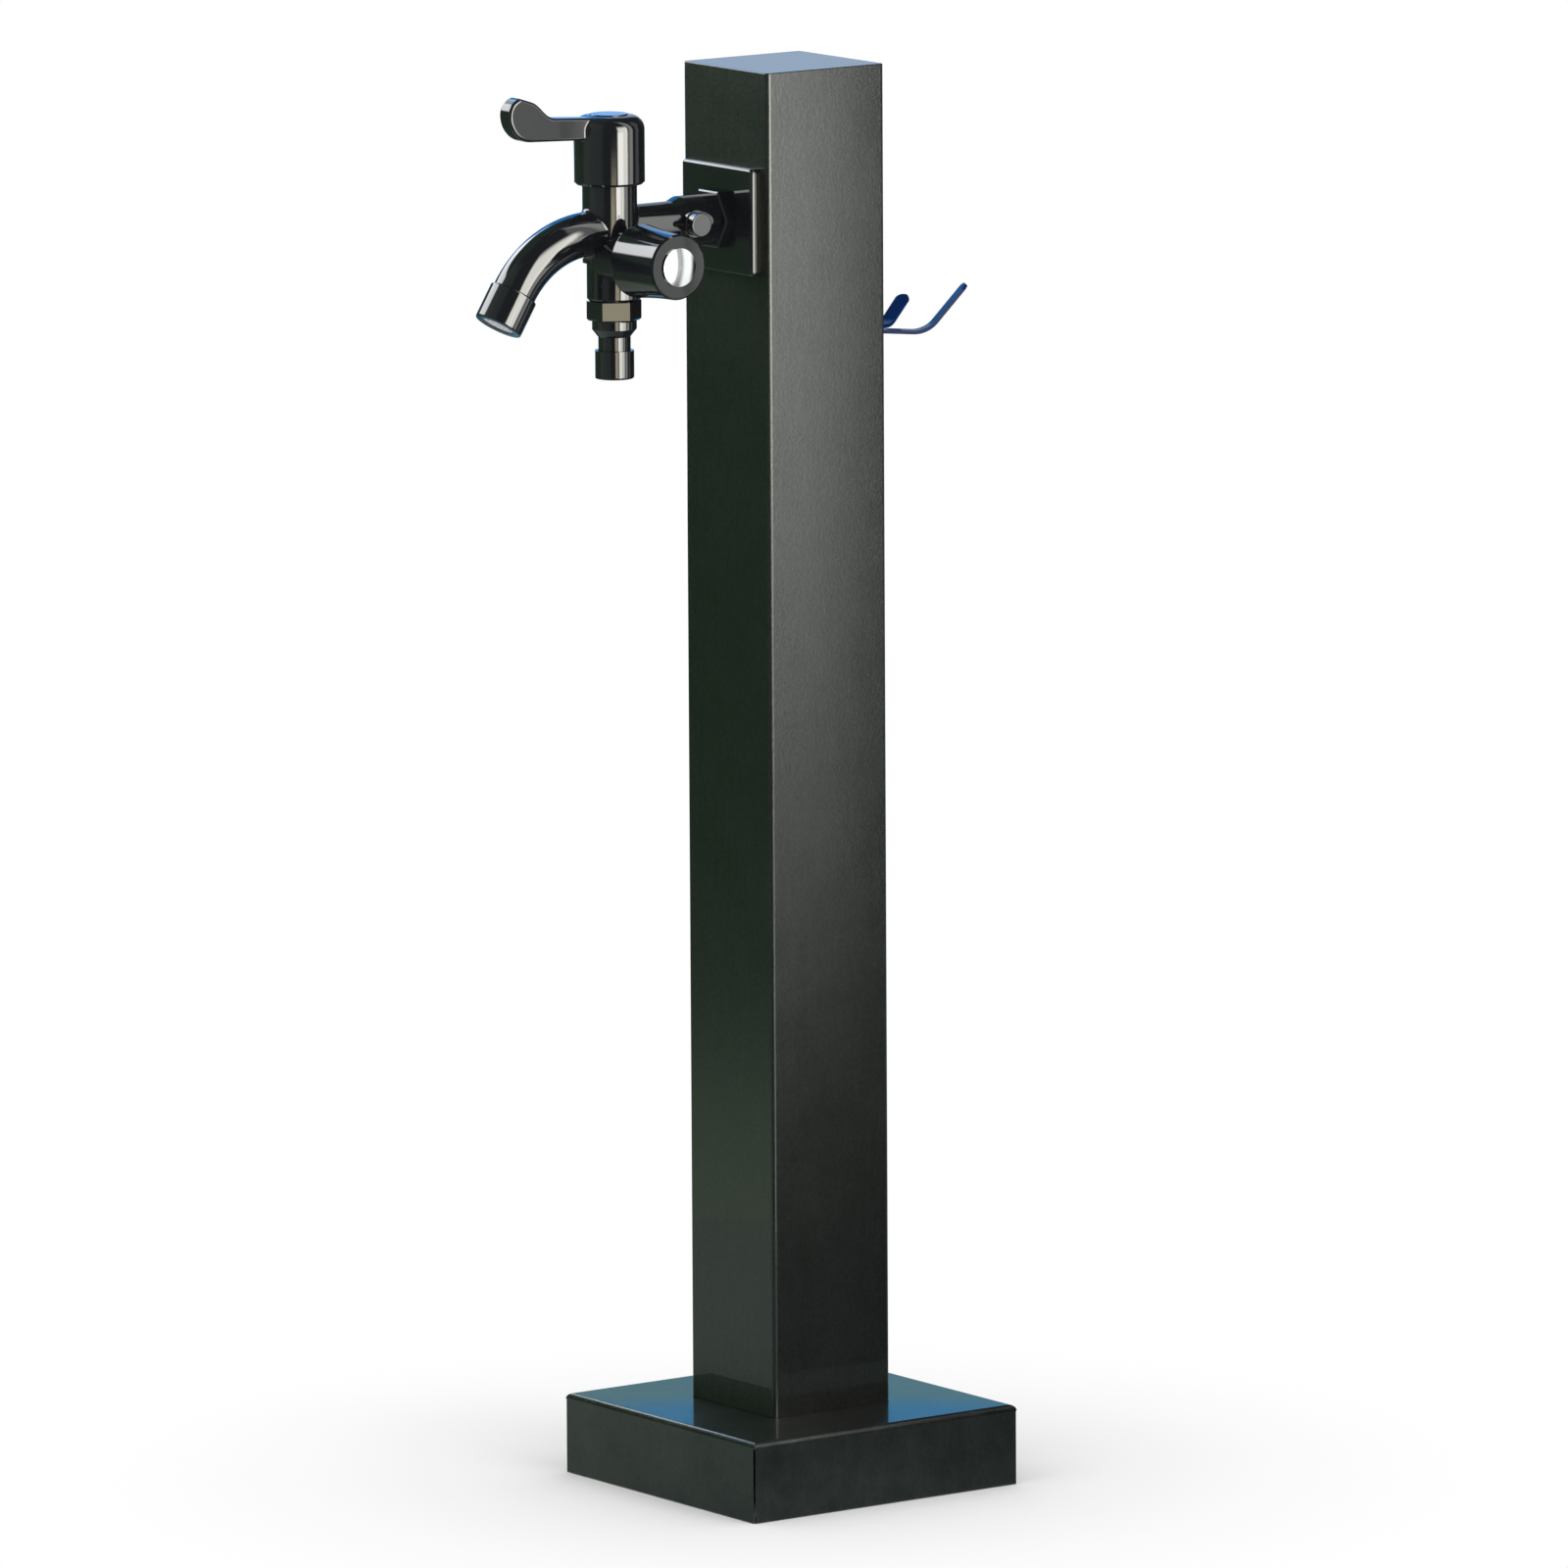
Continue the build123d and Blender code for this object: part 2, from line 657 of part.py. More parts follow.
with BuildPart() as tap_body:
    with BuildSketch(top_seat.offset(neck_bottom_height - top_seat_height)):
        Circle(neck_radius)
    extrude(amount=neck_top_height - neck_bottom_height)
    neck_edges = tap_body.edges()
    with BuildSketch(spout_start_plane):
        Circle(spout_radius)
    sweep(path=spout_path(0))
    fillet(meeting_edges(tap_body, neck_edges), radius=tap_blend_radius)
    spout_edges = tap_body.edges()
    with BuildSketch(inlet_plane):
        with BuildLine():
            Polyline(
                (0, 0),
                (0, inlet_pipe_radius),
                (pipe_end, inlet_pipe_radius),
                (barrel_start, inlet_barrel_radius),
                (barrel_end, inlet_barrel_radius),
                (barrel_end, union_thread_radius),
                (shank_end, union_thread_radius),
                (shank_end, 0),
                close=True,
            )
        make_face()
    revolve(axis=Axis((0, valve_y, inlet_height), (0, 1, 0)))
    fillet(meeting_edges(tap_body, spout_edges), radius=tap_blend_radius)
    with BuildSketch(plug_plane):
        Circle(plug_boss_radius)
    extrude(amount=plug_boss_length)
    with BuildSketch(side_axis_plane):
        Circle(side_boss_radius)
    extrude(amount=side_boss_length)
    with BuildSketch(outlet_base):
        Circle(neck_radius)
    extrude(amount=outlet_barrel_top_height - outlet_barrel_bottom_height)
    chamfer(tap_body.faces().sort_by(Axis.Z)[0].edges(), length=outlet_bevel_width)
    with BuildSketch(spout_end_plane):
        Circle(spout_spigot_radius)
    extrude(amount=spout_spigot_length)

    # Inlet bore and the drain plug's bore
    with BuildSketch(Plane(origin=(0, shank_end_y, inlet_height), x_dir=(1, 0, 0), z_dir=(0, -1, 0))):
        Circle(inlet_bore_radius)
    extrude(amount=shank_end_y - inlet_bore_end, mode=Mode.SUBTRACT)
    with BuildSketch(plug_plane.offset(plug_boss_length)):
        Circle(plug_spigot_radius + thread_clearance)
    extrude(amount=-plug_boss_length, mode=Mode.SUBTRACT)

    # Seats and bores of the two cartridges
    for seat in (top_seat, side_seat):
        with BuildSketch(seat):
            Circle(nose_bore_radius)
        extrude(amount=cartridge_length, mode=Mode.SUBTRACT)
        with BuildSketch(seat.offset(nose_bore_depth)):
            Circle(cartridge_thread_bore_radius)
        extrude(amount=cartridge_length - nose_bore_depth, mode=Mode.SUBTRACT)
        with BuildSketch(seat):
            Circle(cartridge_seat_hole_radius)
        extrude(amount=-cartridge_seat_hole_depth, mode=Mode.SUBTRACT)

    # Galleries: from the inlet down to the side valve, and from the top valve to the spout
    with BuildSketch(Plane(origin=(-side_gallery_distance, valve_y, side_valve_height))):
        Circle(side_gallery_radius)
    extrude(amount=inlet_height - side_valve_height, mode=Mode.SUBTRACT)
    with BuildSketch(Plane(origin=(0, valve_y - spout_gallery_distance, spout_height))):
        Circle(spout_gallery_radius)
    extrude(amount=spout_gallery_top_height - spout_height, mode=Mode.SUBTRACT)

    # Spout's waterway
    with BuildSketch(spout_start_plane.offset(spout_bore_start_distance)):
        Circle(spout_bore_radius)
    sweep(path=spout_path(spout_bore_start_distance), mode=Mode.SUBTRACT)
    with BuildSketch(spout_end_plane):
        Circle(spout_bore_radius)
    extrude(amount=spout_spigot_length, mode=Mode.SUBTRACT)

    # Port of the hose adapter
    with BuildSketch(outlet_base):
        Circle(outlet_port_radius)
    extrude(amount=outlet_port_depth, mode=Mode.SUBTRACT)
    with BuildSketch(outlet_base):
        Circle(outlet_bore_radius)
    extrude(amount=outlet_bore_top_height - outlet_barrel_bottom_height, mode=Mode.SUBTRACT)
tap_body.part.label = "tap_body"
export_step(tap_body.part, "parts/tap_body.step")


# Drain plug: a round head on a threaded spigot, with a seal between its head and the boss
with BuildPart() as drain_plug:
    with BuildSketch(plug_plane.offset(plug_boss_length + plug_seal_thickness)):
        Circle(plug_head_radius)
    extrude(amount=plug_end_distance - plug_boss_length - plug_seal_thickness)
    fillet(drain_plug.faces().sort_by(Axis.X)[-1].edges(), radius=plug_head_edge_radius)
    with BuildSketch(plug_plane.offset(plug_boss_length + plug_seal_thickness)):
        Circle(plug_spigot_radius)
    extrude(amount=-plug_spigot_length)
drain_plug.part.label = "drain_plug"
export_step(drain_plug.part, "parts/drain_plug.step")

with BuildPart() as drain_plug_seal:
    with BuildSketch(plug_plane.offset(plug_boss_length)):
        Circle(plug_head_radius)
        Circle(plug_spigot_radius + thread_clearance, mode=Mode.SUBTRACT)
    extrude(amount=plug_seal_thickness)
drain_plug_seal.part.label = "drain_plug_seal"
export_step(drain_plug_seal.part, "parts/drain_plug_seal.step")


# Collar on the spout's end: threaded over the spigot, with a lip that holds the aerator
collar_seat_start = spout_spigot_length
collar_lip_start = collar_length - collar_lip_thickness

with BuildPart() as spout_collar:
    with BuildSketch(spout_end_plane):
        Circle(collar_radius)
    extrude(amount=collar_length)
    fillet(spout_collar.edges().filter_by(GeomType.CIRCLE), radius=collar_edge_radius)
    with BuildSketch(spout_end_plane):
        Circle(spout_spigot_radius + thread_clearance)
    extrude(amount=collar_seat_start, mode=Mode.SUBTRACT)
    with BuildSketch(spout_end_plane):
        Circle(collar_seat_radius)
    extrude(amount=collar_lip_start, mode=Mode.SUBTRACT)
    with BuildSketch(spout_end_plane):
        Circle(collar_lip_radius)
    extrude(amount=collar_length, mode=Mode.SUBTRACT)
spout_collar.part.label = "spout_collar"
export_step(spout_collar.part, "parts/spout_collar.step")

aerator_radius = collar_seat_radius - aerator_clearance
aerator_start = collar_seat_start + aerator_washer_thickness

with BuildPart() as aerator_washer:
    with BuildSketch(spout_end_plane.offset(collar_seat_start)):
        Circle(aerator_radius)
        Circle(aerator_washer_bore_radius, mode=Mode.SUBTRACT)
    extrude(amount=aerator_washer_thickness)
aerator_washer.part.label = "aerator_washer"
export_step(aerator_washer.part, "parts/aerator_washer.step")

with BuildPart() as aerator_insert:
    with BuildSketch(spout_end_plane.offset(aerator_start)):
        Circle(aerator_radius)
        Circle(aerator_hole_radius, mode=Mode.SUBTRACT)
        for ring in range(1, aerator_rings + 1):
            with PolarLocations(ring * aerator_hole_distance, 6 * ring):
                Circle(aerator_hole_radius, mode=Mode.SUBTRACT)
    extrude(amount=collar_lip_start - aerator_start)
aerator_insert.part.label = "aerator_insert"
export_step(aerator_insert.part, "parts/aerator_insert.step")


# Hose adapter: spigot in the tap, hexagon, shoulder, taper, neck and snap ring
shoulder_top = -adapter_hex_height
taper_top = shoulder_top - adapter_shoulder_height
neck_top = taper_top - adapter_taper_height
ring_top = neck_top - nipple_neck_height
nipple_end = ring_top - nipple_ring_height

with BuildPart() as hose_adapter:
    with BuildSketch(outlet_base):
        RegularPolygon(adapter_hex_radius, 6)
    extrude(amount=-adapter_hex_height)
    chamfer(hose_adapter.faces().filter_by(Axis.Z).edges(), length=adapter_bevel_width)
    with BuildSketch(Plane(origin=outlet_base.origin, x_dir=(1, 0, 0), z_dir=(0, -1, 0))):
        with BuildLine():
            Polyline(
                (0, 0),
                (adapter_shoulder_radius, 0),
                (adapter_shoulder_radius, taper_top),
                (nipple_neck_radius, neck_top),
                (nipple_neck_radius, ring_top),
                (nipple_ring_radius, ring_top),
                (nipple_ring_radius, nipple_end),
                (0, nipple_end),
                close=True,
            )
        make_face()
    revolve(axis=Axis((0, outlet_y, 0), (0, 0, 1)))
    fillet(
        hose_adapter.faces().sort_by(Axis.Z)[0].edges(),
        radius=nipple_edge_radius,
    )
    with BuildSketch(outlet_base):
        Circle(adapter_spigot_radius)
    extrude(amount=adapter_spigot_length)
    with BuildSketch(outlet_base.offset(adapter_spigot_length)):
        Circle(nipple_bore_radius)
    extrude(amount=nipple_end - adapter_spigot_length, mode=Mode.SUBTRACT)
hose_adapter.part.label = "hose_adapter"
export_step(hose_adapter.part, "parts/hose_adapter.step")

with BuildPart() as adapter_washer:
    with BuildSketch(outlet_base.offset(adapter_spigot_length)):
        Circle(adapter_spigot_radius)
        Circle(adapter_washer_bore_radius, mode=Mode.SUBTRACT)
    extrude(amount=outlet_port_depth - adapter_spigot_length)
adapter_washer.part.label = "adapter_washer"
export_step(adapter_washer.part, "parts/adapter_washer.step")


# Valve cartridges. Each stands on its seat, with the parts stacked along the seat's normal
fixed_disc_start = seat_seal_height
moving_disc_start = fixed_disc_start + disc_thickness
spindle_start = moving_disc_start + disc_thickness
foot_end = spindle_start + spindle_foot_height


def seat_seal(seat):
    """Rubber ring between the seat and the cartridge."""
    with BuildPart() as seal:
        with BuildSketch(seat):
            Circle(nose_radius)
            Circle(cartridge_seat_hole_radius, mode=Mode.SUBTRACT)
        extrude(amount=seat_seal_height)
    return seal.part


def ported_disc(seat, start, turn):
    """Ceramic disc with two ports side by side, turned about its axis."""
    with BuildPart() as disc:
        with BuildSketch(seat.offset(start)):
            Circle(disc_radius)
            with PolarLocations(disc_port_distance, 2, start_angle=turn):
                Circle(disc_port_radius, mode=Mode.SUBTRACT)
        extrude(amount=disc_thickness)
    return disc.part


def cartridge_housing(seat):
    """Brass housing: windowed nose, threaded barrel and hexagon head."""
    with BuildPart() as housing:
        with BuildSketch(seat.offset(seat_seal_height)):
            Circle(nose_radius)
        extrude(amount=nose_bore_depth - seat_seal_height)
        with BuildSketch(seat.offset(nose_bore_depth)):
            Circle(cartridge_thread_bore_radius - thread_clearance)
        extrude(amount=cartridge_length - nose_bore_depth)
        with BuildSketch(seat.offset(cartridge_length)):
            RegularPolygon(hex_radius(cartridge_head_across_flats), 6)
        extrude(amount=cartridge_head_height)
        with BuildSketch(seat.offset(seat_seal_height)):
            Circle(nose_inner_radius)
        extrude(amount=foot_end + running_clearance - seat_seal_height, mode=Mode.SUBTRACT)
        with BuildSketch(seat.offset(seat_seal_height)):
            Circle(spindle_radius + running_clearance)
        extrude(amount=cartridge_length + cartridge_head_height, mode=Mode.SUBTRACT)
        with BuildSketch(seat.offset(cartridge_window_distance)):
            Rectangle(cartridge_window_width, 2 * nose_radius + cut_overrun_length)
        extrude(amount=cartridge_window_height, mode=Mode.SUBTRACT)
    return housing.part


def spindle(seat):
    """Stem with a foot that turns the moving disc and a flat that carries the handle."""
    flat_length = spindle_length - cartridge_length - cartridge_head_height
    with BuildPart() as stem:
        with BuildSketch(seat.offset(spindle_start)):
            Circle(disc_radius)
        extrude(amount=spindle_foot_height)
        with BuildSketch(seat.offset(spindle_start)):
            Circle(spindle_radius)
        extrude(amount=spindle_length - spindle_start)
        with BuildSketch(seat.offset(spindle_length)):
            with Locations((2 * spindle_radius - spindle_flat_depth, 0)):
                Rectangle(2 * spindle_radius, 2 * spindle_radius)
        extrude(amount=-flat_length, mode=Mode.SUBTRACT)
        with BuildSketch(seat.offset(spindle_length)):
            Circle(screw_radius + thread_clearance)
        extrude(amount=-spindle_screw_depth, mode=Mode.SUBTRACT)
    return stem.part


def handle_screw(seat):
    """Screw that holds a handle on its spindle."""
    head_start = spindle_length + socket_clearance + socket_web_thickness
    with BuildPart() as screw:
        with BuildSketch(seat.offset(head_start)):
            Circle(screw_head_radius)
        extrude(amount=screw_head_height)
        with BuildSketch(seat.offset(head_start)):
            Circle(screw_radius)
        extrude(amount=-screw_length)
        with BuildSketch(seat.offset(head_start + screw_head_height)):
            RegularPolygon(screw_socket_radius, 6)
        extrude(amount=-screw_socket_depth, mode=Mode.SUBTRACT)
    return screw.part


for side, seat in {"top": top_seat, "side": side_seat}.items():
    valve_parts = {
        f"{side}_seat_seal": seat_seal(seat),
        f"{side}_fixed_disc": ported_disc(seat, fixed_disc_start, 0),
        f"{side}_moving_disc": ported_disc(seat, moving_disc_start, disc_closed_angle),
        f"{side}_cartridge": cartridge_housing(seat),
        f"{side}_spindle": spindle(seat),
        f"{side}_handle_screw": handle_screw(seat),
    }
    for name, piece in valve_parts.items():
        piece.label = name
        export_step(piece, f"parts/{name}.step")


# Lever handle: a round cap with a blade that rises to an upturned tip
handle_bottom_height = neck_top_height - handle_skirt_height
screw_seat_distance = spindle_length + socket_clearance + socket_web_thickness
top_button_seat = top_seat_height + screw_seat_distance + screw_head_height + screw_head_clearance
handle_top_height = top_button_seat + button_thickness - button_proud_height
handle_base = top_seat.offset(handle_bottom_height - top_seat_height)
handle_height = handle_top_height - handle_bottom_height
handle_cavity_height = neck_top_height + cartridge_head_height + handle_head_room_height - handle_bottom_height
lever_view = Plane(
    origin=(0, valve_y, handle_bottom_height),
    x_dir=(0, -1, 0),
    z_dir=(-1, 0, 0),
)

with BuildPart() as lever_blade:
    with BuildSketch(lever_view):
        with BuildLine():
            underside = Line(
                (lever_root_distance, lever_underside_height),
                (lever_heel_distance, lever_heel_height),
            )
            heel = TangentArc(
                underside @ 1,
                (lever_tip_distance, lever_tip_height),
                tangent=underside % 1,
            )
            crown = TangentArc(
                heel @ 1,
                (lever_crown_distance, lever_crown_height),
                tangent=heel % 1,
            )
            rise = Line(crown @ 1, (lever_rise_distance, lever_rise_height))
            Spline(
                rise @ 1,
                (lever_straight_distance, lever_straight_height),
                tangents=[rise % 1, (-1, 0)],
            )
            Line((lever_straight_distance, lever_straight_height), (lever_root_distance, lever_top_height))
            Line((lever_root_distance, lever_top_height), (lever_root_distance, lever_underside_height))
        make_face()
    extrude(amount=lever_width / 2, both=True)
    fillet(
        lever_blade.faces().filter_by(Axis.X).edges(),
        radius=lever_edge_radius,
    )

with BuildPart() as top_handle:
    with BuildSketch(handle_base):
        Circle(handle_radius)
    extrude(amount=handle_height)
    fillet(top_handle.faces().sort_by(Axis.Z)[-1].edges(), radius=handle_shoulder_radius)
    chamfer(top_handle.faces().sort_by(Axis.Z)[0].edges(), length=handle_bevel_width)
    cap_edges = top_handle.edges()
    add(lever_blade.part)
    fillet(meeting_edges(top_handle, cap_edges), radius=lever_blend_radius)
    with BuildSketch(handle_base):
        Circle(handle_cavity_radius)
    extrude(amount=handle_cavity_height, mode=Mode.SUBTRACT)
    with BuildSketch(top_seat.offset(spindle_length + socket_clearance)):
        Circle(spindle_radius + socket_clearance)
        with Locations((2 * spindle_radius - spindle_flat_depth + socket_clearance, 0)):
            Rectangle(2 * spindle_radius, 2 * spindle_radius, mode=Mode.SUBTRACT)
    extrude(amount=-spindle_length / 2, mode=Mode.SUBTRACT)
    with BuildSketch(top_seat.offset(screw_seat_distance)):
        Circle(screw_radius + thread_clearance)
    extrude(amount=-2 * socket_web_thickness, mode=Mode.SUBTRACT)
    with BuildSketch(top_seat.offset(screw_seat_distance)):
        Circle(screw_recess_radius)
    extrude(amount=handle_height, mode=Mode.SUBTRACT)
    with BuildSketch(Plane(origin=(0, valve_y, top_button_seat))):
        Circle(button_radius)
    extrude(amount=handle_height, mode=Mode.SUBTRACT)
top_handle.part.label = "top_handle"
export_step(top_handle.part, "parts/top_handle.step")

with BuildPart() as top_button:
    with BuildSketch(Plane(origin=(0, valve_y, top_button_seat))):
        Circle(button_radius - button_clearance)
    extrude(amount=button_thickness)
    fillet(top_button.faces().sort_by(Axis.Z)[-1].edges(), radius=button_edge_radius)
top_button.part.label = "top_button"
export_step(top_button.part, "parts/top_button.step")


# Side handle: a round knob, hollow waisted towards its front, with a polished button
knob_back_distance = side_boss_length - knob_skirt_length
side_screw_seat = side_seat_x + screw_seat_distance
knob_button_seat = side_screw_seat + screw_head_height + knob_recess_depth
knob_button_rim = knob_button_seat + knob_button_thickness - knob_button_dome_height
knob_front_distance = knob_button_rim - knob_button_proud_height
knob_length = knob_front_distance - knob_back_distance
knob_cavity_end = side_boss_length + cartridge_head_height + handle_head_room_height
knob_middle_distance = (knob_back_distance + knob_front_distance) / 2

with BuildPart() as side_handle:
    with BuildSketch(valve_top_view):
        with BuildLine():
            flank = ThreePointArc(
                (knob_back_distance, knob_back_radius),
                (knob_middle_distance, knob_waist_radius),
                (knob_front_distance, knob_front_radius),
            )
            Line(flank @ 1, (knob_front_distance, 0))
            Line((knob_front_distance, 0), (knob_back_distance, 0))
            Line((knob_back_distance, 0), flank @ 0)
        make_face()
    revolve(axis=Axis((0, valve_y, side_valve_height), (1, 0, 0)))
    fillet(side_handle.faces().sort_by(Axis.X)[0].edges(), radius=knob_back_edge_radius)
    chamfer(side_handle.faces().sort_by(Axis.X)[-1].edges(), length=knob_bevel_width)
    with BuildSketch(side_axis_plane.offset(knob_back_distance)):
        Circle(knob_cavity_radius)
    extrude(amount=knob_cavity_end - knob_back_distance, mode=Mode.SUBTRACT)
    with BuildSketch(side_seat.offset(spindle_length + socket_clearance)):
        Circle(spindle_radius + socket_clearance)
        with Locations((2 * spindle_radius - spindle_flat_depth + socket_clearance, 0)):
            Rectangle(2 * spindle_radius, 2 * spindle_radius, mode=Mode.SUBTRACT)
    extrude(amount=-spindle_length / 2, mode=Mode.SUBTRACT)
    with BuildSketch(side_axis_plane.offset(side_screw_seat)):
        Circle(screw_radius + thread_clearance)
    extrude(amount=-2 * socket_web_thickness, mode=Mode.SUBTRACT)
    with BuildSketch(side_axis_plane.offset(side_screw_seat)):
        Circle(screw_recess_radius)
    extrude(amount=knob_length, mode=Mode.SUBTRACT)
    with BuildSketch(side_axis_plane.offset(knob_button_seat)):
        Circle(button_radius)
    extrude(amount=knob_length, mode=Mode.SUBTRACT)
side_handle.part.label = "side_handle"
export_step(side_handle.part, "parts/side_handle.step")

knob_button_apex = knob_button_rim + knob_button_dome_height
side_button_radius = button_radius - button_clearance

with BuildPart() as side_button:
    with BuildSketch(valve_top_view):
        with BuildLine():
            Line((knob_button_seat, 0), (knob_button_seat, side_button_radius))
            Line((knob_button_seat, side_button_radius), (knob_button_rim, side_button_radius))
            TangentArc(
                (knob_button_apex, 0),
                (knob_button_rim, side_button_radius),
                tangent=(0, 1),
            )
            Line((knob_button_apex, 0), (knob_button_seat, 0))
        make_face()
    revolve(axis=Axis((0, valve_y, side_valve_height), (1, 0, 0)))
side_button.part.label = "side_button"
export_step(side_button.part, "parts/side_button.step")


# Hook: a back plate with two flat arms that spread apart and turn up to round tips
hook_face_plane = Plane(origin=(0, column_half, hook_height), x_dir=(-1, 0, 0), z_dir=(0, 1, 0))


def hook_arm(spread, tip_rise):
    """One flat arm, drawn from the side along its own direction and extruded across its width."""
    outward = (sin(radians(spread)), cos(radians(spread)), 0)
    across = (cos(radians(spread)), -sin(radians(spread)), 0)
    arm_view = Plane(origin=(0, column_half + hook_thickness, hook_height), x_dir=outward, z_dir=across)
    with BuildPart() as arm:
        with BuildSketch(arm_view):
            with BuildLine() as edge:
                FilletPolyline(
                    (0, 0),
                    (hook_arm_length, -hook_arm_droop_height),
                    (hook_tip_distance, tip_rise),
                    radius=hook_bend_radius,
                )
            trace(edge.line, line_width=hook_thickness)
        extrude(amount=hook_arm_width / 2, both=True)
        end_face = arm.faces().sort_by(Axis((0, 0, 0), outward))[-1]
        fillet(end_face.edges().sort_by(SortBy.LENGTH)[:2], radius=hook_tip_radius)
    return arm.part


with BuildPart() as hook:
    with BuildSketch(hook_face_plane):
        with Locations((0, (hook_plate_height - hook_thickness) / 2)):
            RectangleRounded(hook_plate_width, hook_plate_height, hook_plate_corner_radius)
    extrude(amount=hook_thickness)
    with BuildSketch(hook_face_plane):
        with Locations(
            (0, hook_screw_margin_height),
            (0, hook_screw_margin_height + hook_screw_spacing_height),
        ):
            Circle(hook_screw_hole_radius)
    extrude(amount=hook_thickness, mode=Mode.SUBTRACT)
    add(hook_arm(hook_arm_spread_angle, hook_long_tip_height))
    add(hook_arm(-hook_arm_spread_angle, hook_short_tip_height))
hook.part.label = "hook"
export_step(hook.part, "parts/hook.step")

with BuildPart() as hook_screws:
    for height in hook_screw_heights:
        screw_head_plane = Plane(
            origin=(0, column_half + hook_thickness, height),
            x_dir=(-1, 0, 0),
            z_dir=(0, 1, 0),
        )
        with BuildSketch(screw_head_plane):
            Circle(hook_screw_head_radius)
        extrude(amount=hook_screw_head_height)
        with BuildSketch(screw_head_plane):
            Circle(hook_screw_radius)
        extrude(amount=-hook_screw_length)
        with BuildSketch(screw_head_plane.offset(hook_screw_head_height)):
            RegularPolygon(screw_socket_radius, 6)
        extrude(amount=-screw_socket_depth, mode=Mode.SUBTRACT)
hook_screws.part.label = "hook_screws"
export_step(hook_screws.part, "parts/hook_screws.step")

with BuildPart() as hook_nuts:
    for height in hook_screw_heights:
        with BuildSketch(Plane(origin=(0, column_inner_half, height), x_dir=(1, 0, 0), z_dir=(0, -1, 0))):
            RegularPolygon(hex_radius(hook_nut_across_flats), 6)
            Circle(hook_screw_radius + thread_clearance, mode=Mode.SUBTRACT)
        extrude(amount=hook_nut_height)
hook_nuts.part.label = "hook_nuts"
export_step(hook_nuts.part, "parts/hook_nuts.step")
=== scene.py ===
"""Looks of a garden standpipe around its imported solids: finishes, studio and camera."""

from math import cos, radians, sin

import bmesh
import bpy
from mathutils import Matrix, Vector

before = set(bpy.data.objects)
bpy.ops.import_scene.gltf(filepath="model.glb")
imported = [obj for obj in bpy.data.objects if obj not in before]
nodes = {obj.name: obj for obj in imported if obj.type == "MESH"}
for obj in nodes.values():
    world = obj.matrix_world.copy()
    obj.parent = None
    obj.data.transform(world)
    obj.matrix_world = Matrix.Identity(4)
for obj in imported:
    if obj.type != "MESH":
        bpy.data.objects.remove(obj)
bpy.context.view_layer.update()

# Camera, fitted to the photograph: azimuth 0 looks along +Y, 90 looks along -X
CAMERA_AZIMUTH = 54.173
CAMERA_ELEVATION = 9.155
CAMERA_ROLL = -0.317
CAMERA_DISTANCE = 6.61508
CAMERA_SIDE_OFFSET = -0.001399
CAMERA_TARGET_HEIGHT = 0.296226
CAMERA_CLIP_END = 100.0
FOCAL_PIXELS = 16130.6
FRAME_PIXELS = 1600
SENSOR_MM = 36.0

# White floor and background
WHITE = (1, 1, 1, 1)
WORLD_FILL = 0.90
FLOOR_COLOUR = (0.90, 0.90, 0.90)
FLOOR_RADIUS = 6.0
SHADOW_START = 0.09
SHADOW_END = 0.32
ROUND_SEGMENTS = 96

# Lamps: name; azimuth and elevation; width and height; watts
LAMPS = [
    ("key", (100.0, 35.0), (1.2, 1.6), 14.0),
    ("fill", (0.0, 40.0), (1.6, 1.6), 8.0),
]
LAMP_DISTANCE = 2.6
LAMP_TARGET = (0, 0, 0.3)

# Dark tent round the object
TENT_RADIUS = 0.62
TENT_HEIGHT = 1.5
TENT_FLOOR_HEIGHT = 0.0004
TENT_DARK = (0.024, 0.029, 0.028)
TENT_FLOOR_LEFT = (0.23, 0.27, 0.24)
TENT_FLOOR_RIGHT = (0.09, 0.12, 0.115)
TENT_FLOOR_BLEND = 0.16

# Cards of the tent: azimuth, half its width, soft edge; height, half of it, soft edge; light
CARDS = [
    ((92, 14, 6), (0.67, 0.15, 0.33), (4.9, 4.8, 4.45)),
    ((84, 7, 5), (0.20, 0.28, 0.12), (1.7, 1.7, 1.6)),
    ((112, 6, 6), (1.05, 0.58, 0.40), (0.55, 0.56, 0.54)),
    ((-54, 30, 40), (0.50, 1.20, 0.30), (0.028, 0.062, 0.026)),
    ((-54, 30, 40), (0.00, 0.01, 0.115), (0.19, 0.23, 0.18)),
    ((62, 6, 4), (0.42, 0.05, 0.04), (1.9, 1.7, 1.2)),
    ((-60, 26, 8), (0.85, 0.11, 0.05), (3.9, 3.9, 4.0)),
    ((-84, 12, 6), (1.00, 0.06, 0.05), (1.2, 1.5, 1.9)),
    ((-100, 8, 5), (0.42, 0.06, 0.04), (1.9, 2.2, 2.5)),
    ((0, 22, 14), (0.60, 0.60, 0.30), (0.07, 0.085, 0.08)),
    ((158, 8, 10), (0.50, 0.60, 0.30), (0.24, 0.26, 0.27)),
    ((-126, 6, 6), (0.85, 0.15, 0.50), (0.44, 0.58, 0.78)),
    ((-104, 13, 5), (0.90, 0.25, 0.20), (0.03, 0.40, 1.15)),
    ((-128, 22, 14), (0.10, 0.056, 0.008), (0.16, 0.36, 0.42)),
    ((-137, 10, 4), (0.215, 0.051, 0.008), (0.06, 0.34, 0.68)),
    ((-113, 10, 4), (0.1665, 0.0025, 0.008), (0.06, 0.34, 0.68)),
]

